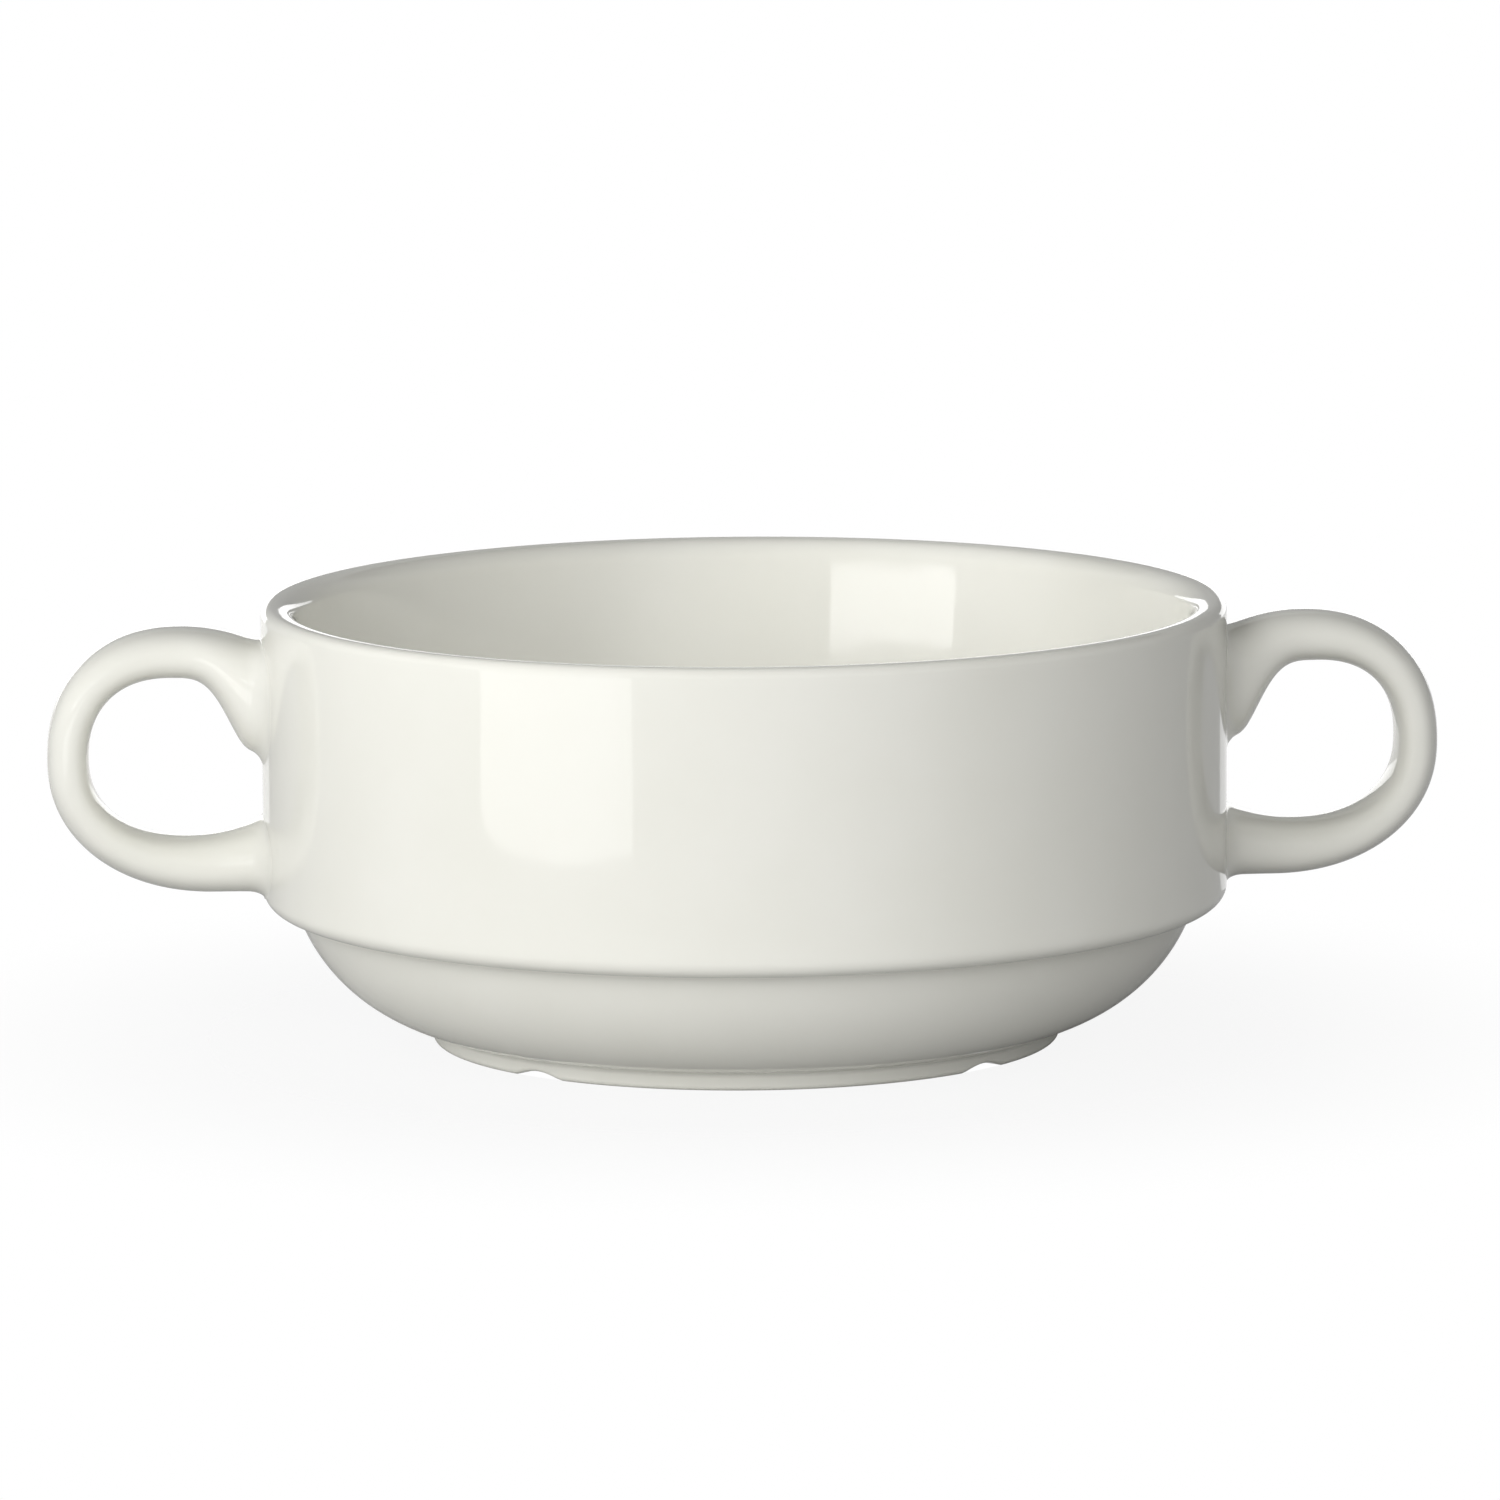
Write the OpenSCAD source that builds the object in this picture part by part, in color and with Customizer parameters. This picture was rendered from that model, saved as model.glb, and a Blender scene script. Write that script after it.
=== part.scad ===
// Stacking lug soup bowl: a jiggered stoneware bowl with two loop handles luted on with slip.
// Origin at the middle of the foot ring on the table, +Z up, handles along X, millimetres.

/* [Bowl] */
// Outside diameter of the upright wall and the rim
rim_d = 108; // [100:1:116]
// Height from the table to the top of the lip
bowl_h = 49.4; // [46:0.2:56]
// Radius of the outer edge of the lip
lip_outer_r = 1.2; // [1:0.1:1.6]
// Radius of the flatter crest of the lip
lip_crest_r = 5; // [4:0.5:7]
// Turn of the crest before the inner edge begins, in degrees
lip_crest_turn = 12; // [8:1:16]
// Radius of the inner edge of the lip
lip_inner_r = 2.3; // [2:0.1:2.8]
// Inward slope of the inner wall, in degrees
inner_slope = 8.8; // [6:0.1:10]
// Radius where the inner wall turns into the floor
inner_corner_r = 16; // [12:0.5:18]
// Thickness of the floor
floor_t = 3.8; // [3:0.1:5]

/* [Stacking shelf] */
// Height of the stacking shelf above the table
shelf_z = 15.6; // [14:0.2:16.4]
// Step from the upright wall in to the lower bowl
shelf_step = 3.5; // [3:0.1:4.2]
// Radius of the rounded lower edge of the upright wall
shelf_edge_r = 1.8; // [1.2:0.1:2]
// Radius of the hollow under the shelf, where the lower bowl begins
shelf_fillet_r = 0.7; // [0.4:0.1:0.9]
// Radius of the round side of the lower bowl
lower_bowl_r = 19.7; // [18:0.1:24]

/* [Foot] */
// Outside diameter of the foot ring
foot_d = 70.3; // [64:0.1:72]
// Height of the outer face of the foot ring
foot_h = 2; // [1.6:0.1:2.4]
// Width of the foot ring
foot_w = 4.4; // [3.6:0.1:6]
// Depth of the hollow under the bowl, inside the foot ring
foot_recess = 1.8; // [1.4:0.1:2.4]
// Radius of the rounded edges of the foot ring
foot_edge_r = 0.6; // [0.3:0.1:0.8]
// Radius of the hollow between the foot ring and the lower bowl
foot_fillet_r = 0.7; // [0.4:0.1:0.9]
// Number of drain notches in the foot ring
notch_count = 4; // [2:1:8]
// Width of a drain notch
notch_w = 7; // [4:0.5:10]
// Depth of a drain notch
notch_depth = 0.7; // [0.4:0.1:1]

/* [Handles] */
// Distance across the bowl from the tip of one handle to the tip of the other
handle_span = 156; // [148:1:166]
// Height of the top of a handle below the lip
handle_drop = 2.1; // [1.6:0.1:4]
// Height of the underside of a handle above the stacking shelf
handle_lift = 1.9; // [1.4:0.1:4]
// Distance from the wall to the highest point of a handle's outline
loop_out = 9; // [7:0.1:10]
// Distance from the wall to the lowest point of a handle's outline
low_loop_out = 5.3; // [4.4:0.1:9]
// Distance from the wall to the highest point of the finger eye
eye_out = 10.3; // [9.4:0.1:11.4]
// Distance from the wall to the lowest point of the finger eye
low_eye_out = 8; // [6:0.1:11]
// Thickness of the top of a handle
handle_top_t = 5.6; // [5:0.1:6.6]
// Thickness of the outermost bar of a handle
handle_bar_t = 4.7; // [4:0.05:5.6]
// Thickness of the bottom of a handle
handle_bottom_t = 6.2; // [5.6:0.1:7.4]
// Width of a handle, front to back
handle_w = 10.4; // [8:0.2:12]

/* [Handle roots] */
// Depth of the flare of the upper root, as a share of the height of the finger eye
flare_share = 0.455; // [0.35:0.005:0.55]
// Width of the flared upper root, front to back
upper_root_w = 14.8; // [12.4:0.2:17]
// Distance from the wall to the lowest point of the flare
flare_out = 1.3; // [1.2:0.1:3]
// How far the top of a handle falls on its way to the wall
upper_root_fall = 2; // [0.8:0.1:2.4]
// How far the underside of the eye rises on its way to the wall
lower_root_rise = 1.8; // [0.8:0.1:2.4]
// Width of the lower root, front to back
lower_root_w = 13.2; // [12:0.2:16]

/* [Slip joints] */
// Thickness of the bed of slip between a handle's end and the wall
slip_bed_t = 0.6; // [0.3:0.1:1]
// How far the squeezed-out slip spreads on the wall beside a root and below the flare
slip_spread = 2.2; // [1.2:0.1:3]
// How far the squeezed-out slip spreads on the wall above a root
slip_spread_top = 0.5; // [0.4:0.1:1]
// How far the squeezed-out slip spreads on the wall under a lower root
slip_spread_under = 0.8; // [0.6:0.1:1.4]
// How far the squeezed-out slip climbs along a handle
slip_climb = 2; // [1.4:0.1:2.2]
// Thickness of the slip at its thin edge
slip_edge_t = 0.2; // [0.1:0.05:0.3]

/* [Hidden] */
$fn = 288;
glaze_color = "#ecebe3";
handle_color = "#e9e8df";
slip_color = "#f2f1ea";

// Counts of straight pieces in curves
small_arc_steps = 6;
large_arc_steps = 16;
section_sides = 24;
loop_steps = 24;
leg_steps = 10;
slip_steps = 5;

// Powers of the rounded outlines: 2 is an ellipse, more is squarer, less is flatter
loop_power = 2.24;
low_loop_power = 2.12;
eye_power = 2.3;
section_power = 2.4;
// Power that sets how late the flare drops: more is later
flare_power = 1.85;

// How deep a root and its slip are drawn into the wall before the wall is taken away
sink = 2.4;
// Overrun of the cuts
overrun = 1;

// Bowl, worked out from the sizes above
wall_r = rim_d / 2;
lip_outer_c = [wall_r - lip_outer_r, bowl_h - lip_outer_r];
lip_crest_c = [wall_r - lip_outer_r, bowl_h - lip_crest_r];
lip_inner_c = lip_crest_c + (lip_crest_r - lip_inner_r) * [-sin(lip_crest_turn), cos(lip_crest_turn)];
foot_r = foot_d / 2;
foot_inner_r = foot_r - foot_w;
floor_z = foot_recess + floor_t;
shelf_inner_r = wall_r - shelf_step;

// Middle of the round side of the lower bowl, which runs from the foot's top edge to the shelf
lower_from = [foot_r, foot_h];
lower_to = [shelf_inner_r, shelf_z];
lower_chord = lower_to - lower_from;
lower_rise = sqrt(pow(lower_bowl_r, 2) - pow(norm(lower_chord) / 2, 2));
lower_c = (lower_from + lower_to) / 2 + lower_rise * [-lower_chord.y, lower_chord.x] / norm(lower_chord);

// Hollows at the two ends of that round side
foot_fillet_x = foot_r + foot_fillet_r;
foot_fillet_c = [foot_fillet_x,
                 lower_c.y - leg(lower_bowl_r + foot_fillet_r, foot_fillet_x - lower_c.x)];
foot_fillet_a = heading(foot_fillet_c, lower_c);
shelf_fillet_z = shelf_z - shelf_fillet_r;
shelf_fillet_c = [lower_c.x + leg(lower_bowl_r + shelf_fillet_r, shelf_fillet_z - lower_c.y),
                  shelf_fillet_z];
shelf_fillet_a = heading(shelf_fillet_c, lower_c);

// Middle of the inner corner, tangent to the floor and to the sloping inner wall
inner_corner_z = floor_z + inner_corner_r;
lip_offset = lip_inner_c.x * cos(inner_slope) - lip_inner_c.y * sin(inner_slope);
corner_offset = lip_offset - lip_inner_r - inner_corner_r;
inner_corner_c = [(corner_offset + inner_corner_z * sin(inner_slope)) / cos(inner_slope), inner_corner_z];

// Radius of the round cutter that leaves a notch of the named width and depth
notch_r = (pow(notch_w / 2, 2) + pow(notch_depth, 2)) / (2 * notch_depth);
notch_turn = 360 / notch_count;

// Handle outline, as distances from the axis and heights
handle_tip = handle_span / 2;
handle_top = bowl_h - handle_drop;
handle_bottom = shelf_z + handle_lift;
eye_top = handle_top - handle_top_t;
eye_bottom = handle_bottom + handle_bottom_t;
eye_tip = handle_tip - handle_bar_t;
loop_x = wall_r + loop_out;
low_loop_x = wall_r + low_loop_out;
eye_x = wall_r + eye_out;
low_eye_x = wall_r + low_eye_out;
flare_x = wall_r + flare_out;
flare_h = flare_share * (eye_top - eye_bottom);
root_end = wall_r - sink;

// Slip that spreads towards the lip or the shelf stops where the upright wall does
top_room = bowl_h - lip_outer_r - handle_top + upper_root_fall;
spread_above = min(slip_spread_top, top_room);
spread_under = min(slip_spread_under, handle_lift - slip_edge_t);

function leg(hypotenuse, side) = sqrt(pow(hypotenuse, 2) - pow(side, 2));
function heading(from, to) = atan2(to.y - from.y, to.x - from.x);
function arc(c, r, from, to, steps) =
    [for (i = [0:steps]) c + r * [cos(from + (to - from) * i / steps), sin(from + (to - from) * i / steps)]];
function clamp(x) = min(1, max(0, x));
function signed_power(x, p) = sign(x) * pow(abs(x), p);

// Outside of the bowl from the foot's bearing face up to the foot of the upright wall
function outer_profile() = concat(
    arc([foot_r - foot_edge_r, foot_edge_r], foot_edge_r, -90, 0, small_arc_steps),
    arc(foot_fillet_c, foot_fillet_r, 180, foot_fillet_a, small_arc_steps),
    arc(lower_c, lower_bowl_r, foot_fillet_a - 180, shelf_fillet_a - 180, large_arc_steps),
    arc(shelf_fillet_c, shelf_fillet_r, shelf_fillet_a, 90, small_arc_steps),
    arc([wall_r - shelf_edge_r, shelf_z + shelf_edge_r], shelf_edge_r, -90, 0, small_arc_steps));

// Lip, inner wall and floor, from the outer side of the lip to the axis
function inner_profile() = concat(
    arc(lip_outer_c, lip_outer_r, 0, 90, small_arc_steps),
    arc(lip_crest_c, lip_crest_r, 90, 90 + lip_crest_turn, small_arc_steps),
    arc(lip_inner_c, lip_inner_r, 90 + lip_crest_turn, 180 - inner_slope, small_arc_steps),
    arc(inner_corner_c, inner_corner_r, -inner_slope, -90, large_arc_steps),
    [[0, floor_z]]);

// Hollow under the bowl and the inner edge of the foot ring, from the axis outwards
function under_profile() = concat(
    [[0, foot_recess], [foot_inner_r, foot_recess]],
    arc([foot_inner_r + foot_edge_r, foot_edge_r], foot_edge_r, 180, 270, small_arc_steps));

// Heights and half width of a root at a distance s from the axis: [outer, eye side, half width]
function upper_root(s) =
    let (t = clamp((loop_x - s) / loop_out),
         f = clamp((eye_x - s) / (eye_x - flare_x)),
         drop = flare_h * (1 - cos(180 * pow(f, flare_power))) / 2,
         w = clamp((eye_x - s) / eye_out))
    [handle_top - upper_root_fall * t * t, eye_top - drop, root_half_w(upper_root_w, w)];
function lower_root(s) =
    let (w = clamp((low_eye_x - s) / low_eye_out))
    [handle_bottom, eye_bottom + lower_root_rise * w * w, root_half_w(lower_root_w, w)];
function root_half_w(width, w) = (handle_w + (width - handle_w) * w * w) / 2;

// One ring of a handle between its outer and eye-side points, each [distance from the axis, height].
// A point's distance is kept as it moves to the front or back, so rings near the wall follow its curve.
function section(outer, inner, half_w, grow = [0, 0, 0]) =
    [for (j = [0:section_sides - 1])
        let (a = 360 * j / section_sides,
             across = signed_power(cos(a), 2 / section_power),
             side = signed_power(sin(a), 2 / section_power),
             middle = (outer + inner) / 2,
             half = (outer - inner) / 2,
             out = across > 0 ? grow[0] : grow[1],
             at = middle + across * (half + out * half / norm(half)),
             y = side * (half_w + grow[2]))
        [leg(at.x, y), y, at.y]];

// Rings of the lower root, upright at the wall and fanning out to the loop's lowest points
function lower_ring(outer_s, inner_s) =
    let (inner = lower_root(inner_s))
    section([outer_s, lower_root(outer_s)[0]], [inner_s, inner[1]], inner[2]);
fan_from = wall_r + slip_climb;
lower_rings = concat(
    [for (s = [root_end, wall_r]) lower_ring(s, s)],
    [for (i = [0:leg_steps - 1])
        lower_ring(fan_from + (low_loop_x - fan_from) * i / leg_steps,
                   fan_from + (low_eye_x - fan_from) * i / leg_steps)]);

// Rings of the loop, from its lowest point round the outermost bar to its highest point
function loop_point(from_x, tip, low, high, a, power) =
    [from_x + (tip - from_x) * pow(cos(a), 2 / power),
     (high + low) / 2 + (high - low) / 2 * signed_power(sin(a), 2 / power)];
loop_rings = [for (i = [0:loop_steps])
    let (a = -90 + 180 * i / loop_steps,
         outer_x = a > 0 ? loop_x : low_loop_x,
         outer_power = a > 0 ? loop_power : low_loop_power,
         inner_x = a > 0 ? eye_x : low_eye_x)
    section(loop_point(outer_x, handle_tip, handle_bottom, handle_top, a, outer_power),
            loop_point(inner_x, eye_tip, eye_bottom, eye_top, a, eye_power), handle_w / 2)];

// Rings of the upper root, from the loop in to the wall
function flare_at(p) = eye_x - (eye_x - flare_x) * pow(p, 1 / flare_power);
upper_rings = [for (s = concat([for (i = [1:leg_steps]) flare_at(i / leg_steps)], [wall_r, root_end]))
    let (r = upper_root(s))
    section([s, r[0]], [s, r[1]], r[2])];

handle_rings = concat(lower_rings, loop_rings, upper_rings);

// Rings of the slip round a root: a bed inside the wall, then a hollow fillet that thins along the handle
function slip_ring(s, share, upper) =
    let (r = upper ? upper_root(s) : lower_root(s),
         out = upper ? spread_above : spread_under,
         in = upper ? slip_spread : spread_above,
         spread = [for (m = [out, in, slip_spread]) slip_edge_t + (m - slip_edge_t) * share])
    section([s, r[0]], [s, r[1]], r[2], spread);
function slip_rings(upper) = concat(
    [slip_ring(root_end, 1, upper)],
    [for (i = [0:slip_steps])
        let (a = 90 * i / slip_steps, climb = (slip_climb - slip_edge_t) * (1 - cos(a)))
        slip_ring(wall_r + slip_edge_t + climb, 1 - sin(a), upper)]);

// Closed solid through a list of rings with equal numbers of points
module loft(rings) {
    n = len(rings[0]);
    last = (len(rings) - 1) * n;
    middles = [for (r = [rings[0], rings[len(rings) - 1]]) [for (k = [0:2]) mean([for (p = r) p[k]])]];
    points = concat([for (r = rings) each r], middles);
    sides = [for (i = [0:len(rings) - 2], j = [0:n - 1])
        let (a = i * n + j, b = i * n + (j + 1) % n)
        each [[a, a + n, b], [b, a + n, b + n]]];
    ends = [for (j = [0:n - 1])
        let (k = (j + 1) % n)
        each [[last + n, j, k], [last + n + 1, last + k, last + j]]];
    polyhedron(points, concat(sides, ends));
}
function mean(list, i = 0) = i == len(list) ? 0 : list[i] / len(list) + mean(list, i + 1);

// The bowl filled to the axis, which the roots and their slip are cut to
module filled_bowl() {
    rotate_extrude()
        polygon(concat([[0, 0]], outer_profile(), [[wall_r, bowl_h], [0, bowl_h]]));
}

module notches() {
    for (i = [0:notch_count - 1])
        rotate([0, 0, notch_turn * (i + 1 / 2)])
            translate([foot_inner_r - overrun, 0, notch_depth - notch_r])
                rotate([0, 90, 0])
                    cylinder(r = notch_r, h = foot_w + 2 * overrun);
}

module handle() {
    difference() {
        loft(handle_rings);
        translate([0, 0, -overrun])
            cylinder(r = wall_r + slip_bed_t, h = bowl_h + 2 * overrun);
    }
}

module slip_joint(upper) {
    difference() {
        loft(slip_rings(upper));
        handle();
        filled_bowl();
    }
}

module bowl_body() {
    color(glaze_color)
        difference() {
            rotate_extrude()
                polygon(concat(under_profile(), outer_profile(), inner_profile()));
            notches();
        }
}

module left_handle() {
    color(handle_color)
        mirror([1, 0, 0])
            handle();
}

module right_handle() {
    color(handle_color)
        handle();
}

module left_upper_slip_joint() {
    color(slip_color)
        mirror([1, 0, 0])
            slip_joint(true);
}

module left_lower_slip_joint() {
    color(slip_color)
        mirror([1, 0, 0])
            slip_joint(false);
}

module right_upper_slip_joint() {
    color(slip_color)
        slip_joint(true);
}

module right_lower_slip_joint() {
    color(slip_color)
        slip_joint(false);
}

bowl_body();
left_handle();
right_handle();
left_upper_slip_joint();
left_lower_slip_joint();
right_upper_slip_joint();
right_lower_slip_joint();
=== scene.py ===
import math

import bpy
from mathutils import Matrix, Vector


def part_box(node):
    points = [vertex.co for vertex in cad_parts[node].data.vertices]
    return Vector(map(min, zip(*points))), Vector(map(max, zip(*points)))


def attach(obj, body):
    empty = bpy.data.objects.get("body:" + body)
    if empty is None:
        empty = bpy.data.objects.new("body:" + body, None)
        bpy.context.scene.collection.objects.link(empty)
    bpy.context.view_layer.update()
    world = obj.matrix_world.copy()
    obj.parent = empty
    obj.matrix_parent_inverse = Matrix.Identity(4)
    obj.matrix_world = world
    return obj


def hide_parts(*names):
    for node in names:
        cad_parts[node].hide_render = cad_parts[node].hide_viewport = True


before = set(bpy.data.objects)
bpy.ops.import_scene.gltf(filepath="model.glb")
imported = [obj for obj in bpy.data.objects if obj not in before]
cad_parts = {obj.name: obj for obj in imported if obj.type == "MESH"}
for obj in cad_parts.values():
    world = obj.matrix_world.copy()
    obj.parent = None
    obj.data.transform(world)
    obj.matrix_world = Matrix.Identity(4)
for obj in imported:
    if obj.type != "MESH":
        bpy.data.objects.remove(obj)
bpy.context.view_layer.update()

# Sizes in metres that the frame gives
body_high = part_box("bowl_body")[1]
handle_low, handle_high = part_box("right_handle")
WALL_R = body_high.x
BOWL_H = body_high.z
HANDLE_TIP = handle_high.x
HANDLE_TOP = handle_high.z
HANDLE_BOTTOM = handle_low.z

# Bowl
LIP_OUTER_R = 0.0012
LIP_CREST_R = 0.005
LIP_CREST_TURN = 12
LIP_INNER_R = 0.0023
INNER_SLOPE = 8.8
INNER_CORNER_R = 0.016
FLOOR_T = 0.0038
SHELF_Z = 0.0156
SHELF_STEP = 0.0035
SHELF_EDGE_R = 0.0018
SHELF_FILLET_R = 0.0007
LOWER_BOWL_R = 0.0197
FOOT_R = 0.03515
FOOT_H = 0.002
FOOT_W = 0.0044
FOOT_RECESS = 0.0018
FOOT_EDGE_R = 0.0006
FOOT_FILLET_R = 0.0007
NOTCH_COUNT = 4
NOTCH_W = 0.007
NOTCH_DEPTH = 0.0007
BARE_BELOW = 0.00003

# Handles and the slip that joins them
LOOP_OUT = 0.009
LOW_LOOP_OUT = 0.0053
EYE_OUT = 0.0103
LOW_EYE_OUT = 0.008
HANDLE_TOP_T = 0.0056
HANDLE_BAR_T = 0.0047
HANDLE_BOTTOM_T = 0.0062
HANDLE_W = 0.0104
FLARE_SHARE = 0.455
FLARE_OUT = 0.0013
UPPER_ROOT_W = 0.0148
UPPER_ROOT_FALL = 0.002
LOWER_ROOT_RISE = 0.0018
LOWER_ROOT_W = 0.0132
SLIP_BED_T = 0.0006
SLIP_SPREAD = 0.0022
SLIP_SPREAD_TOP = 0.0005
SLIP_SPREAD_UNDER = 0.0008
SLIP_CLIMB = 0.002
SLIP_SINK = 0.0003

# Powers of the rounded outlines, of the flare and of the notches
LOOP_POWER = 2.24
LOW_LOOP_POWER = 2.12
EYE_POWER = 2.3
SECTION_POWER = 2.4
FLARE_POWER = 1.85
NOTCH_POWER = 1.5

# Counts of faces
TURN_STEPS = 384
SMALL_ARC_STEPS = 10
LIP_STEPS = 16
LARGE_ARC_STEPS = 28
SECTION_SIDES = 80
LOOP_STEPS = 112
ROOT_STEPS = 28
SLIP_STEPS = 16

# A straight stretch over this length has a point at this share of it from each end
LONG_STRETCH, SUPPORT_SHARE = 0.001, 0.01

# Camera, as the photograph has it
CAMERA_AZIMUTH = -3.774
CAMERA_ELEVATION = 8.743
CAMERA_ROLL = -0.364
CAMERA_DISTANCE = 1.224
CAMERA_AIM = Vector((0.00063, 0, 0.03234))
CAMERA_LENS = 262.2
SENSOR_W = 36

# Glaze
GLAZE_IOR = 1.52
GLAZE_PALE, GLAZE_DEEP = (0.84, 0.835, 0.775), (0.82, 0.815, 0.75)
TONE_SCALE, TONE_DETAIL = 60, 3
DEEP_STOP, PALE_STOP = 0.35, 0.65
GLOSS_SCALE, GLOSS_DETAIL = 180, 2
SMOOTHEST, ROUGHEST = 0.035, 0.06
SMOOTH_STOP, ROUGH_STOP = 0.3, 0.7
WAVE_SCALE, WAVE_DETAIL, WAVE_HEIGHT = 140, 1, 0.00002
SPECK_SCALE, SPECK_R, SPECK_CORE_SHARE = 90, 0.00028, 0.5
SPECK_TONE = (0.68, 0.655, 0.59)

# Clay that is left bare under the foot
CLAY_SCALE, CLAY_DETAIL, CLAY_GRAIN_H = 2500, 4, 0.00005
CLAY_ROUGHNESS = 0.75
CLAY_DARK, CLAY_PALE = (0.55, 0.5, 0.42), (0.68, 0.64, 0.56)
DARK_STOP, LIGHT_STOP = 0.3, 0.7

# Light panels that stand upright to the front left, in their own sideways and upward measure
PANEL_AZIMUTH = -43.2 + CAMERA_AZIMUTH
PANEL_DISTANCE = 0.2104
LOW_PANEL_STRENGTH = 2.2
LOW_PANEL_LEFT, LOW_PANEL_RIGHT = -0.0521, 0.0769
LOW_PANEL_BOTTOM, LOW_PANEL_TOP = 0.0015, 0.04
LOW_CORNER_W, LOW_CORNER_H = 0.027, 0.0035
STRIP_STRENGTH = 3.6
STRIP_LEFT, STRIP_RIGHT = -0.0815, 0.066
STRIP_BOTTOM, STRIP_TOP = 0.071, 0.0828
STRIP_SLANT = 0.0565
STRIP_CORNER_W, STRIP_CORNER_H = 0.018, 0.0025

# Lamps, in watts and degrees: large soft ones round the bowl, and two narrow beams that fall inside it
KEY_LAMP, KEY_AZIMUTH = 6.5, -40
FILL_LAMP, FILL_AZIMUTH = 3.2, 5
SIDE_LAMP, SIDE_AZIMUTH = 3.1, -110
LAMP_ELEVATION = 17
BACK_LAMP, BACK_AZIMUTH, BACK_ELEVATION = 2.5, 176, 3
LAMP_DISTANCE = 1.0
LAMP_SIZE = 1.0
INSIDE_LAMP, INSIDE_AZIMUTH, INSIDE_ELEVATION, INSIDE_AIM = 2.0, -23, 45, 0.016
OVERHEAD_LAMP, OVERHEAD_ELEVATION, OVERHEAD_AIM = 1.3, 90, 0
BEAM_DISTANCE, BEAM_R, BEAM_BLEND = 0.6, 0.034, 0.6

# Brightness of the room as it lights the bowl, from the table up to the ceiling
TABLE_LIGHT = 0.18
LOW_WALL_LIGHT, LOW_WALL_TOP = 0.25, 17.5
HIGH_WALL_LIGHT, HIGH_WALL_TOP = 0.56, 44.4

# Brightness of the room as the glaze shows it, and of the lit backdrop that stands behind
TABLE_SHOWN = 0.49
WALL_SHOWN, WALL_SHOWN_TOP = 0.34, 30
BAND_BLUR = 0.01
BACKDROP_STRENGTH = 1.8
SWEEP_STRENGTH = 0.95
BACKDROP_DISTANCE = 0.6
BACKDROP_HALF_W = 0.3
BACKDROP_TOP, SWEEP_BOTTOM = 0.117, -0.09

# Floor
FLOOR_GREY = 0.55
FLOOR_WHITE = 0.9
FLOOR_R = 0.12
FLOOR_FADE_FROM = 0.045
FLOOR_FADE_TO = 0.11


def arc(centre, radius, start, end, steps):
    """Points of a round stretch in the plane, with angles in degrees."""
    turns = [math.radians(start + (end - start) * i / steps) for i in range(steps + 1)]
    return [(centre[0] + radius * math.cos(t), centre[1] + radius * math.sin(t)) for t in turns]


def heading(start, end):
    return math.degrees(math.atan2(end[1] - start[1], end[0] - start[0]))


def leg(hypotenuse, side):
    return math.sqrt(hypotenuse ** 2 - side ** 2)


def clamp(x):
    return min(1.0, max(0.0, x))


def signed_power(x, power):
    return math.copysign(abs(x) ** power, x)


def add_piece(name, points, faces, *materials):
    """A smooth mesh object in the frame's own place."""
    mesh = bpy.data.meshes.new(name)
    mesh.from_pydata(points, [], faces)
    mesh.shade_smooth()
    for material in materials:
        mesh.materials.append(material)
    piece = bpy.data.objects.new(name, mesh)
    bpy.context.scene.collection.objects.link(piece)
    return piece


# Bowl: half section from the axis under the foot, round the outside and the lip, back to the axis inside

def lower_bowl_centre():
    """Centre of the arc that runs from the foot up to the stacking shelf."""
    x0, z0 = FOOT_R, FOOT_H
    x1, z1 = WALL_R - SHELF_STEP, SHELF_Z
    chord = math.hypot(x1 - x0, z1 - z0)
    rise = leg(LOWER_BOWL_R, chord / 2) / chord
    return (x0 + x1) / 2 - rise * (z1 - z0), (z0 + z1) / 2 + rise * (x1 - x0)


def foot_profile():
    """From the axis under the bowl, down the foot ring's inner side and round to its outer side."""
    inner_r = FOOT_R - FOOT_W
    corner = (inner_r - FOOT_EDGE_R, FOOT_RECESS - FOOT_EDGE_R)
    return [(0, FOOT_RECESS), *arc(corner, FOOT_EDGE_R, 90, 0, SMALL_ARC_STEPS),
            *arc((inner_r + FOOT_EDGE_R, FOOT_EDGE_R), FOOT_EDGE_R, 180, 270, SMALL_ARC_STEPS),
            *arc((FOOT_R - FOOT_EDGE_R, FOOT_EDGE_R), FOOT_EDGE_R, -90, 0, SMALL_ARC_STEPS)]


def outer_profile():
    """From the foot up the lower bowl, out along the shelf and round its edge to the wall."""
    lower = lower_bowl_centre()
    foot_x = FOOT_R + FOOT_FILLET_R
    foot_c = (foot_x, lower[1] - leg(LOWER_BOWL_R + FOOT_FILLET_R, foot_x - lower[0]))
    foot_a = heading(foot_c, lower)
    shelf_z = SHELF_Z - SHELF_FILLET_R
    shelf_c = (lower[0] + leg(LOWER_BOWL_R + SHELF_FILLET_R, shelf_z - lower[1]), shelf_z)
    shelf_a = heading(shelf_c, lower)
    edge_c = (WALL_R - SHELF_EDGE_R, SHELF_Z + SHELF_EDGE_R)
    return [*arc(foot_c, FOOT_FILLET_R, 180, foot_a, SMALL_ARC_STEPS),
            *arc(lower, LOWER_BOWL_R, foot_a - 180, shelf_a - 180, LARGE_ARC_STEPS)[1:],
            *arc(shelf_c, SHELF_FILLET_R, shelf_a, 90, SMALL_ARC_STEPS)[1:],
            *arc(edge_c, SHELF_EDGE_R, -90, 0, SMALL_ARC_STEPS)]


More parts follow.
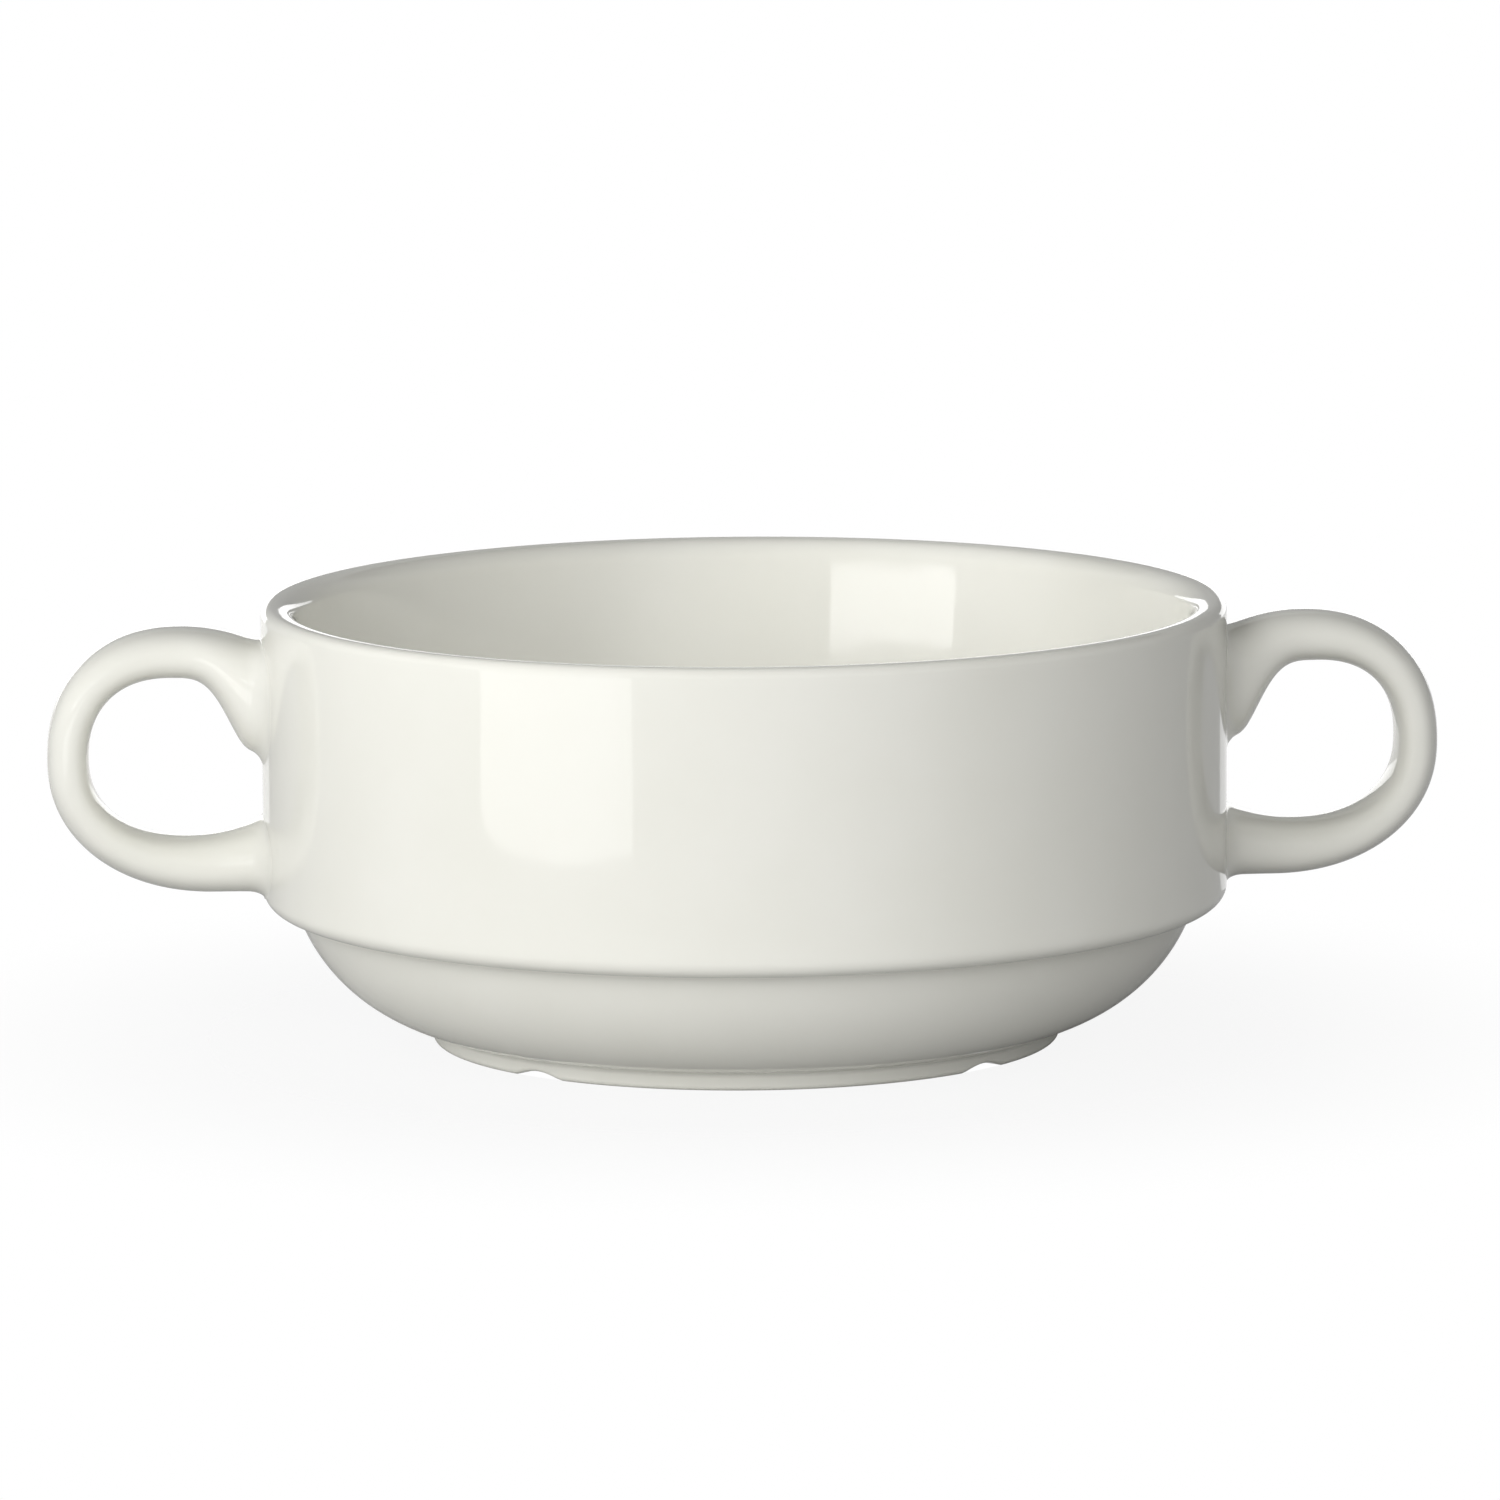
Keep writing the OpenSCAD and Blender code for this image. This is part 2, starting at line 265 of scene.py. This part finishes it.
def inner_profile():
    """From the wall over the lip, down the inner wall and along the floor to the axis."""
    lip_x = WALL_R - LIP_OUTER_R
    turn = math.radians(LIP_CREST_TURN)
    sink = LIP_CREST_R - LIP_INNER_R
    inner_lip = (lip_x - sink * math.sin(turn), BOWL_H - LIP_CREST_R + sink * math.cos(turn))
    slope = math.radians(INNER_SLOPE)
    floor_z = FOOT_RECESS + FLOOR_T
    corner_z = floor_z + INNER_CORNER_R
    offset = inner_lip[0] * math.cos(slope) - inner_lip[1] * math.sin(slope)
    corner_x = (offset - LIP_INNER_R - INNER_CORNER_R + corner_z * math.sin(slope)) / math.cos(slope)
    return [*arc((lip_x, BOWL_H - LIP_OUTER_R), LIP_OUTER_R, 0, 90, LIP_STEPS),
            *arc((lip_x, BOWL_H - LIP_CREST_R), LIP_CREST_R, 90, 90 + LIP_CREST_TURN, SMALL_ARC_STEPS)[1:],
            *arc(inner_lip, LIP_INNER_R, 90 + LIP_CREST_TURN, 180 - INNER_SLOPE, LIP_STEPS)[1:],
            *arc((corner_x, corner_z), INNER_CORNER_R, -INNER_SLOPE, -90, LARGE_ARC_STEPS), (0, floor_z)]


def with_supports(profile):
    """Adds a point close to each end of a long straight stretch, so that it is shaded as straight."""
    points = [profile[0]]
    for a, b in zip(profile, profile[1:]):
        if math.dist(a, b) > LONG_STRETCH:
            points += [(a[0] + (b[0] - a[0]) * t, a[1] + (b[1] - a[1]) * t)
                       for t in (SUPPORT_SHARE, 1 - SUPPORT_SHARE)]
        points.append(b)
    return points


def notch_lift(x, y):
    """How far the foot is scooped up by the drain notch nearest to a point."""
    turn = 2 * math.pi / NOTCH_COUNT
    off = (math.atan2(y, x) % turn) - turn / 2
    u = abs(math.hypot(x, y) * math.sin(off)) / (NOTCH_W / 2)
    return NOTCH_DEPTH * (1 - u * u) ** NOTCH_POWER if u < 1 else 0


def make_bowl(glaze, bare_clay):
    foot = with_supports(foot_profile())
    profile = foot + with_supports([*outer_profile(), *inner_profile()])
    points = [(0, 0, profile[0][1]), (0, 0, profile[-1][1])]
    faces = []
    ring = profile[1:-1]
    # The notches start half-way round the corner between the recess and the foot ring
    notched_from = FOOT_R - FOOT_W - FOOT_EDGE_R / 2
    turns = [2 * math.pi * i / TURN_STEPS for i in range(TURN_STEPS)]
    for t in turns:
        for k, (r, z) in enumerate(ring):
            x, y = r * math.cos(t), r * math.sin(t)
            if k + 1 < len(foot) and r > notched_from:
                z += notch_lift(x, y) * (1 - z / FOOT_H)
            points.append((x, y, z))
    n = len(ring)
    for i in range(TURN_STEPS):
        a = 2 + i * n
        b = 2 + (i + 1) % TURN_STEPS * n
        faces.append((0, b, a))
        faces.append((1, a + n - 1, b + n - 1))
        faces += [(a + k, b + k, b + k + 1, a + k + 1) for k in range(n - 1)]
    bowl = add_piece("bowl_body_glazed", points, faces, glaze, bare_clay)
    for face in bowl.data.polygons:
        if all(abs(points[v][2]) < BARE_BELOW for v in face.vertices):
            face.material_index = 1
    return bowl


# Handles: rings of points, each a rounded section between an outer point and an eye-side point

EYE_TOP = HANDLE_TOP - HANDLE_TOP_T
EYE_BOTTOM = HANDLE_BOTTOM + HANDLE_BOTTOM_T
EYE_TIP = HANDLE_TIP - HANDLE_BAR_T
LOOP_X = WALL_R + LOOP_OUT
LOW_LOOP_X = WALL_R + LOW_LOOP_OUT
EYE_X = WALL_R + EYE_OUT
LOW_EYE_X = WALL_R + LOW_EYE_OUT
FLARE_X = WALL_R + FLARE_OUT
FLARE_H = FLARE_SHARE * (EYE_TOP - EYE_BOTTOM)
ROOT_END = WALL_R + SLIP_BED_T
FAN_FROM = WALL_R + SLIP_CLIMB


def root_half_w(width, w):
    return (HANDLE_W + (width - HANDLE_W) * w * w) / 2


def upper_root(s):
    """Outer height, eye-side height and half width of the upper root at a distance from the axis."""
    t = clamp((LOOP_X - s) / LOOP_OUT)
    f = clamp((EYE_X - s) / (EYE_X - FLARE_X))
    drop = FLARE_H * (1 - math.cos(math.pi * f ** FLARE_POWER)) / 2
    w = clamp((EYE_X - s) / EYE_OUT)
    return HANDLE_TOP - UPPER_ROOT_FALL * t * t, EYE_TOP - drop, root_half_w(UPPER_ROOT_W, w)


def lower_root(s):
    w = clamp((LOW_EYE_X - s) / LOW_EYE_OUT)
    return HANDLE_BOTTOM, EYE_BOTTOM + LOWER_ROOT_RISE * w * w, root_half_w(LOWER_ROOT_W, w)


def section(outer, inner, half_w, grow=(0, 0, 0)):
    """One ring; grow swells it on its outer side, its eye side and its front and back."""
    middle = ((outer[0] + inner[0]) / 2, (outer[1] + inner[1]) / 2)
    half = ((outer[0] - inner[0]) / 2, (outer[1] - inner[1]) / 2)
    length = math.hypot(*half)
    ring = []
    for j in range(SECTION_SIDES):
        a = 2 * math.pi * j / SECTION_SIDES
        across = signed_power(math.cos(a), 2 / SECTION_POWER)
        y = signed_power(math.sin(a), 2 / SECTION_POWER) * (half_w + grow[2])
        share = across * (1 + (grow[0] if across > 0 else grow[1]) / length)
        ring.append((leg(middle[0] + share * half[0], y), y, middle[1] + share * half[1]))
    return ring


def root_ring(s, root, grow=(0, 0, 0)):
    outer, inner, half_w = root(s)
    return section((s, outer), (s, inner), half_w, grow)


def fan_ring(u):
    """Ring of the lower root, from the upright ring near the wall (0) to the loop's lowest points (1)."""
    outer_s = FAN_FROM + (LOW_LOOP_X - FAN_FROM) * u
    inner_s = FAN_FROM + (LOW_EYE_X - FAN_FROM) * u
    _, inner, half_w = lower_root(inner_s)
    return section((outer_s, HANDLE_BOTTOM), (inner_s, inner), half_w)


def loop_point(from_x, tip, low, high, a, power):
    """Point of a rounded half loop at an angle, which is 0 at the tip."""
    return (from_x + (tip - from_x) * abs(math.cos(a)) ** (2 / power),
            (high + low) / 2 + (high - low) / 2 * signed_power(math.sin(a), 2 / power))


def loop_ring(a):
    if a > 0:
        outer_x, power, inner_x = LOOP_X, LOOP_POWER, EYE_X
    else:
        outer_x, power, inner_x = LOW_LOOP_X, LOW_LOOP_POWER, LOW_EYE_X
    return section(loop_point(outer_x, HANDLE_TIP, HANDLE_BOTTOM, HANDLE_TOP, a, power),
                   loop_point(inner_x, EYE_TIP, EYE_BOTTOM, EYE_TOP, a, EYE_POWER), HANDLE_W / 2)


def handle_rings():
    """Rings from the lower root round the outermost bar to the upper root."""
    rings = [root_ring(ROOT_END + (FAN_FROM - ROOT_END) * i / SMALL_ARC_STEPS, lower_root)
             for i in range(SMALL_ARC_STEPS)]
    rings += [fan_ring(i / ROOT_STEPS) for i in range(ROOT_STEPS)]
    rings += [loop_ring(math.pi * (i / LOOP_STEPS - 0.5)) for i in range(LOOP_STEPS + 1)]
    upper = [EYE_X - (EYE_X - FLARE_X) * (i / ROOT_STEPS) ** (1 / FLARE_POWER)
             for i in range(1, ROOT_STEPS + 1)]
    upper += [FLARE_X + (ROOT_END - FLARE_X) * i / SMALL_ARC_STEPS for i in range(1, SMALL_ARC_STEPS + 1)]
    return rings + [root_ring(s, upper_root) for s in upper]


def slip_rings(root, spreads):
    """A fillet that leaves the wall along the wall and reaches the handle along the handle."""
    rings = [root_ring(WALL_R - SLIP_SINK, root, spreads)]
    for i in range(SLIP_STEPS + 1):
        a = math.pi / 2 * i / SLIP_STEPS
        rings.append(root_ring(WALL_R + SLIP_CLIMB * (1 - math.cos(a)), root,
                               [m * (1 - math.sin(a)) for m in spreads]))
    rings.append(root_ring(WALL_R + SLIP_CLIMB, root, [-SLIP_SINK] * 3))
    return rings


def loft(name, rings, side, material, sharp_rings=()):
    """Closed solid through rings, drawn on the right and mirrored for the left."""
    n = len(rings[0])
    points = [(side * x, y, z) for ring in rings for x, y, z in ring]
    faces = []
    for i in range(len(rings) - 1):
        for j in range(n):
            a, b = i * n + j, i * n + (j + 1) % n
            faces.append((a, b, b + n, a + n))
    last = (len(rings) - 1) * n
    faces.append(tuple(range(n - 1, -1, -1)))
    faces.append(tuple(range(last, last + n)))
    if side < 0:
        faces = [face[::-1] for face in faces]
    piece = add_piece(name, points, faces, material)
    for edge in piece.data.edges:
        edge.use_edge_sharp = any(all(v // n == k for v in edge.vertices) for k in sharp_rings)
    return piece


# Materials

def new_material(name):
    material = bpy.data.materials.new(name)
    material.use_nodes = True
    return material, material.node_tree.nodes, material.node_tree.links


def noise(nodes, links, coordinates, scale, detail):
    texture = nodes.new("ShaderNodeTexNoise")
    texture.inputs["Scale"].default_value = scale
    texture.inputs["Detail"].default_value = detail
    links.new(coordinates, texture.inputs["Vector"])
    return texture.outputs["Fac"]


def ramp(nodes, links, factor, *stops):
    """Colour ramp between two (place, colour) stops."""
    node = nodes.new("ShaderNodeValToRGB")
    for element, (place, colour) in zip(node.color_ramp.elements, stops):
        element.position = place
        element.color = (*colour, 1)
    links.new(factor, node.inputs["Fac"])
    return node.outputs["Color"]


def grey(level):
    return level, level, level


def bump(nodes, links, height, distance):
    node = nodes.new("ShaderNodeBump")
    node.inputs["Distance"].default_value = distance
    links.new(height, node.inputs["Height"])
    return node


def map_range(nodes, links, value, low, high):
    node = nodes.new("ShaderNodeMapRange")
    node.interpolation_type = "SMOOTHSTEP"
    node.inputs["From Min"].default_value = low
    node.inputs["From Max"].default_value = high
    links.new(value, node.inputs["Value"])
    return node.outputs["Result"]


def make_glaze(name):
    """Glossy glaze on a warm white body, a little uneven in tone, gloss and surface, with fine specks."""
    material, nodes, links = new_material(name)
    shader = nodes["Principled BSDF"]
    shader.inputs["IOR"].default_value = GLAZE_IOR
    coordinates = nodes.new("ShaderNodeTexCoord").outputs["Object"]
    clouds = noise(nodes, links, coordinates, TONE_SCALE, TONE_DETAIL)
    tone = ramp(nodes, links, clouds, (DEEP_STOP, GLAZE_DEEP), (PALE_STOP, GLAZE_PALE))
    cells = nodes.new("ShaderNodeTexVoronoi")
    cells.inputs["Scale"].default_value = SPECK_SCALE
    links.new(coordinates, cells.inputs["Vector"])
    edge = SPECK_SCALE * SPECK_R
    clear = map_range(nodes, links, cells.outputs["Distance"], SPECK_CORE_SHARE * edge, edge)
    speck = nodes.new("ShaderNodeMix")
    speck.data_type = "RGBA"
    links.new(clear, speck.inputs["Factor"])
    speck.inputs["A"].default_value = (*SPECK_TONE, 1)
    links.new(tone, speck.inputs["B"])
    links.new(speck.outputs["Result"], shader.inputs["Base Color"])
    gloss = noise(nodes, links, coordinates, GLOSS_SCALE, GLOSS_DETAIL)
    rough = ramp(nodes, links, gloss, (SMOOTH_STOP, grey(SMOOTHEST)), (ROUGH_STOP, grey(ROUGHEST)))
    links.new(rough, shader.inputs["Roughness"])
    waves = bump(nodes, links, noise(nodes, links, coordinates, WAVE_SCALE, WAVE_DETAIL), WAVE_HEIGHT)
    links.new(waves.outputs["Normal"], shader.inputs["Normal"])
    return material


def make_bare_clay(name):
    material, nodes, links = new_material(name)
    shader = nodes["Principled BSDF"]
    coordinates = nodes.new("ShaderNodeTexCoord").outputs["Object"]
    grain = noise(nodes, links, coordinates, CLAY_SCALE, CLAY_DETAIL)
    tone = ramp(nodes, links, grain, (DARK_STOP, CLAY_DARK), (LIGHT_STOP, CLAY_PALE))
    links.new(tone, shader.inputs["Base Color"])
    shader.inputs["Roughness"].default_value = CLAY_ROUGHNESS
    links.new(bump(nodes, links, grain, CLAY_GRAIN_H).outputs["Normal"], shader.inputs["Normal"])
    return material


# The object

bowl_glaze = make_glaze("bowl_glaze")
handle_glaze = make_glaze("handle_glaze")
slip_glaze = make_glaze("slip_glaze")
bare_clay = make_bare_clay("bare_clay")

made = [(make_bowl(bowl_glaze, bare_clay), "bowl_body", "bowl_glaze")]
for side, word in ((-1, "left"), (1, "right")):
    made.append((loft(word + "_handle_glazed", handle_rings(), side, handle_glaze),
                 word + "_handle", "handle_glaze"))
    for level, root, spreads in (("upper", upper_root, (SLIP_SPREAD_TOP, SLIP_SPREAD, SLIP_SPREAD)),
                                 ("lower", lower_root, (SLIP_SPREAD_UNDER, SLIP_SPREAD_TOP, SLIP_SPREAD))):
        node = word + "_" + level + "_slip_joint"
        fillet_ends = (1, SLIP_STEPS + 1)
        made.append((loft(node + "_glazed", slip_rings(root, spreads), side, slip_glaze, fillet_ends),
                     node, "slip_glaze"))
for piece, node, slot in made:
    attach(piece, "root")
    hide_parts(node)


# Stage: floor, light panels, lamps, world and camera

def feed(links, value, socket):
    """Gives a socket a plain number, or links it to another socket."""
    if isinstance(value, (int, float)):
        socket.default_value = value
    else:
        links.new(value, socket)


def reckon(nodes, links, operation, *values):
    """Math node on values that are sockets or plain numbers."""
    node = nodes.new("ShaderNodeMath")
    node.operation = operation
    for value, socket in zip(values, node.inputs):
        feed(links, value, socket)
    return node.outputs["Value"]


def mix_shaders(nodes, links, factor, first, second):
    node = nodes.new("ShaderNodeMixShader")
    feed(links, factor, node.inputs["Fac"])
    links.new(first, node.inputs[1])
    links.new(second, node.inputs[2])
    return node.outputs["Shader"]


def make_floor():
    """White to the eye with a light shadow; it fades outwards, clear from below, open under the foot."""
    material, nodes, links = new_material("pale_floor")
    nodes.remove(nodes["Principled BSDF"])
    diffuse = nodes.new("ShaderNodeBsdfDiffuse")
    diffuse.inputs["Color"].default_value = (*grey(FLOOR_GREY), 1)
    white = nodes.new("ShaderNodeEmission")
    seen = mix_shaders(nodes, links, FLOOR_WHITE, diffuse.outputs["BSDF"], white.outputs["Emission"])
    path = nodes.new("ShaderNodeLightPath").outputs
    looked_at = reckon(nodes, links, "MAXIMUM", path["Is Camera Ray"], path["Is Transmission Ray"])
    near = mix_shaders(nodes, links, looked_at, diffuse.outputs["BSDF"], seen)
    clear = nodes.new("ShaderNodeBsdfTransparent")
    reach = nodes.new("ShaderNodeVectorMath")
    reach.operation = "LENGTH"
    links.new(nodes.new("ShaderNodeTexCoord").outputs["Object"], reach.inputs[0])
    fade = map_range(nodes, links, reach.outputs["Value"], FLOOR_FADE_FROM, FLOOR_FADE_TO)
    below = nodes.new("ShaderNodeNewGeometry").outputs["Backfacing"]
    gone = reckon(nodes, links, "MAXIMUM", fade, below)
    surface = mix_shaders(nodes, links, gone, near, clear.outputs["BSDF"])
    links.new(surface, nodes["Material Output"].inputs["Surface"])
    points = [(x, y, 0) for r in (FOOT_R - FOOT_EDGE_R, FLOOR_R)
              for x, y in arc((0, 0), r, 0, 360, LOOP_STEPS)[:-1]]
    n = LOOP_STEPS
    faces = [(i, n + i, n + (i + 1) % n, (i + 1) % n) for i in range(n)]
    add_piece("floor", points, faces, material)


def make_panel(name, outline, strength, azimuth=PANEL_AZIMUTH, distance=PANEL_DISTANCE):
    """Upright emitting panel that stands round the bowl, from an outline of (sideways, height) points."""
    material, nodes, links = new_material(name)
    nodes.remove(nodes["Principled BSDF"])
    emission = nodes.new("ShaderNodeEmission")
    emission.inputs["Strength"].default_value = strength
    links.new(emission.outputs["Emission"], nodes["Material Output"].inputs["Surface"])
    panel = add_piece(name, [(x, 0, z) for x, z in outline], [tuple(range(len(outline)))], material)
    turn = math.radians(azimuth)
    panel.location = (distance * math.sin(turn), -distance * math.cos(turn), 0)
    panel.rotation_euler = (0, 0, turn)
    panel.visible_camera = False


def make_panels():
    low_corner = [(LOW_PANEL_LEFT + LOW_CORNER_W * (1 + x), LOW_PANEL_BOTTOM + LOW_CORNER_H * (1 + z))
                  for x, z in arc((0, 0), 1, 180, 270, SMALL_ARC_STEPS)]
    low = [*low_corner, (LOW_PANEL_RIGHT, LOW_PANEL_BOTTOM), (LOW_PANEL_RIGHT, LOW_PANEL_TOP),
           (LOW_PANEL_LEFT, LOW_PANEL_TOP)]
    make_panel("low_light_panel", low, LOW_PANEL_STRENGTH)
    strip = [(STRIP_LEFT + STRIP_CORNER_W * (1 + x), STRIP_TOP - STRIP_CORNER_H * (1 - z))
             for x, z in arc((0, 0), 1, 90, 180, SMALL_ARC_STEPS)]
    strip += [(STRIP_LEFT, STRIP_BOTTOM), (STRIP_RIGHT, STRIP_BOTTOM), (STRIP_RIGHT, STRIP_TOP)]
    slanted = [(x, z + STRIP_SLANT * (x - STRIP_LEFT)) for x, z in strip]
    make_panel("strip_light_panel", slanted, STRIP_STRENGTH)
    for name, low, high, strength in (("backdrop_panel", 0, BACKDROP_TOP, BACKDROP_STRENGTH),
                                      ("sweep_panel", SWEEP_BOTTOM, 0, SWEEP_STRENGTH)):
        outline = [(-BACKDROP_HALF_W, low), (BACKDROP_HALF_W, low),
                   (BACKDROP_HALF_W, high), (-BACKDROP_HALF_W, high)]
        make_panel(name, outline, strength, CAMERA_AZIMUTH + 180, BACKDROP_DISTANCE)


def towards(azimuth, elevation):
    """Direction from the bowl, with the front at azimuth 0 and the right at 90."""
    a, e = math.radians(azimuth), math.radians(elevation)
    return Vector((math.sin(a) * math.cos(e), -math.cos(a) * math.cos(e), math.sin(e)))


def hang_lamp(data, power, place, back):
    """Puts a lamp at a place, with its back to a direction; it shows in no reflection."""
    data.energy = power
    lamp = bpy.data.objects.new(data.name, data)
    lamp.location = place
    lamp.rotation_euler = (-back).to_track_quat("-Z", "Y").to_euler()
    lamp.visible_glossy = False
    bpy.context.scene.collection.objects.link(lamp)


def make_lamp(name, azimuth, power, elevation=LAMP_ELEVATION):
    """Large soft lamp that shines at the bowl."""
    data = bpy.data.lights.new(name, "AREA")
    data.shape = "DISK"
    data.size = LAMP_SIZE
    back = towards(azimuth, elevation)
    hang_lamp(data, power, back * LAMP_DISTANCE, back)


def make_beam(name, azimuth, power, elevation, aim):
    """Lamp whose narrow beam falls inside the bowl, aimed past the middle of its mouth."""
    data = bpy.data.lights.new(name, "SPOT")
    data.spot_size = 2 * math.atan(BEAM_R / BEAM_DISTANCE)
    data.spot_blend = BEAM_BLEND
    data.shadow_soft_size = 0
    back = towards(azimuth, elevation)
    place = Vector((0, 0, BOWL_H)) - towards(azimuth, 0) * aim + back * BEAM_DISTANCE
    hang_lamp(data, power, place, back)


def bands(nodes, links, height, lowest, *steps):
    """Brightness that steps to another level at each elevation in degrees."""
    total = level = lowest
    for edge, after in steps:
        sine = math.sin(math.radians(edge))
        above = map_range(nodes, links, height, sine - BAND_BLUR, sine + BAND_BLUR)
        total = reckon(nodes, links, "MULTIPLY_ADD", above, after - level, total)
        level = after
    return total


def background(nodes, links, strength):
    node = nodes.new("ShaderNodeBackground")
    node.inputs["Color"].default_value = (*grey(1), 1)
    links.new(strength, node.inputs["Strength"])
    return node.outputs["Background"]


def make_world():
    """Light from a pale table and a dim room, which the glaze also shows; the eye sees white."""
    world = bpy.data.worlds.new("studio")
    world.use_nodes = True
    nodes, links = world.node_tree.nodes, world.node_tree.links
    direction = nodes.new("ShaderNodeSeparateXYZ")
    links.new(nodes.new("ShaderNodeTexCoord").outputs["Generated"], direction.inputs[0])
    height = direction.outputs["Z"]
    lit = bands(nodes, links, height, TABLE_LIGHT, (0, LOW_WALL_LIGHT), (LOW_WALL_TOP, HIGH_WALL_LIGHT),
                (HIGH_WALL_TOP, 0))
    shown = bands(nodes, links, height, TABLE_SHOWN, (0, WALL_SHOWN), (WALL_SHOWN_TOP, 0))
    white = nodes["Background"]
    white.inputs["Color"].default_value = (*grey(1), 1)
    path = nodes.new("ShaderNodeLightPath").outputs
    room = mix_shaders(nodes, links, path["Is Glossy Ray"], background(nodes, links, lit),
                       background(nodes, links, shown))
    looked_at = reckon(nodes, links, "MAXIMUM", path["Is Camera Ray"], path["Is Transmission Ray"])
    seen = mix_shaders(nodes, links, looked_at, room, white.outputs["Background"])
    links.new(seen, nodes["World Output"].inputs["Surface"])
    bpy.context.scene.world = world


def make_camera():
    data = bpy.data.cameras.new("camera")
    data.sensor_width = SENSOR_W
    data.lens = CAMERA_LENS
    camera = bpy.data.objects.new("camera", data)
    back = towards(CAMERA_AZIMUTH, CAMERA_ELEVATION)
    camera.location = CAMERA_AIM + back * CAMERA_DISTANCE
    camera.rotation_euler = (-back).to_track_quat("-Z", "Y").to_euler()
    camera.rotation_euler.rotate_axis("Z", math.radians(CAMERA_ROLL))
    bpy.context.scene.collection.objects.link(camera)
    bpy.context.scene.camera = camera


make_floor()
make_panels()
make_lamp("key_lamp", KEY_AZIMUTH, KEY_LAMP)
make_lamp("fill_lamp", FILL_AZIMUTH, FILL_LAMP)
make_lamp("side_lamp", SIDE_AZIMUTH, SIDE_LAMP)
make_lamp("back_lamp", BACK_AZIMUTH, BACK_LAMP, BACK_ELEVATION)
make_beam("inside_lamp", INSIDE_AZIMUTH, INSIDE_LAMP, INSIDE_ELEVATION, INSIDE_AIM)
make_beam("overhead_lamp", INSIDE_AZIMUTH, OVERHEAD_LAMP, OVERHEAD_ELEVATION, OVERHEAD_AIM)
make_world()
make_camera()
bpy.context.scene.view_settings.view_transform = "Standard"
